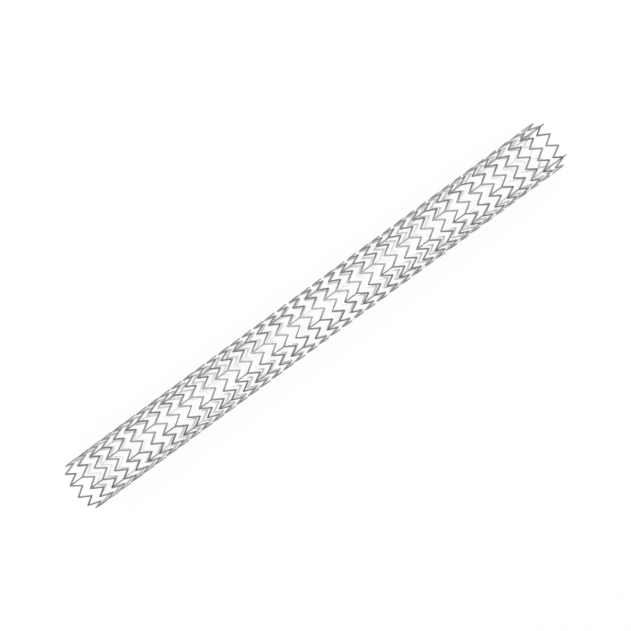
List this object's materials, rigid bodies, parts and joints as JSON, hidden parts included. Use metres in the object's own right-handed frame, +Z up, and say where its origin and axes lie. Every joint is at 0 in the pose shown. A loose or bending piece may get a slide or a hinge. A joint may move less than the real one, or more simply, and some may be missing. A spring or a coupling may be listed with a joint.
{
  "type": "vascular stent",
  "caption": "Expanded laser-cut metal mesh tube of zigzag rings tied by short axial links, placed inside a blood vessel to hold it open.",
  "frame": {"origin": "middle of the tube's length, on the surface it lies on", "axes": "+X along the tube towards the end whose last ring is turned round, +Z up"},
  "size_m": [0.0802, 0.0074, 0.0075],
  "materials": {
    "stent_metal": "polished"
  },
  "bodies": {
    "root": {"stent": "stent_metal"}
  },
  "joints": []
}
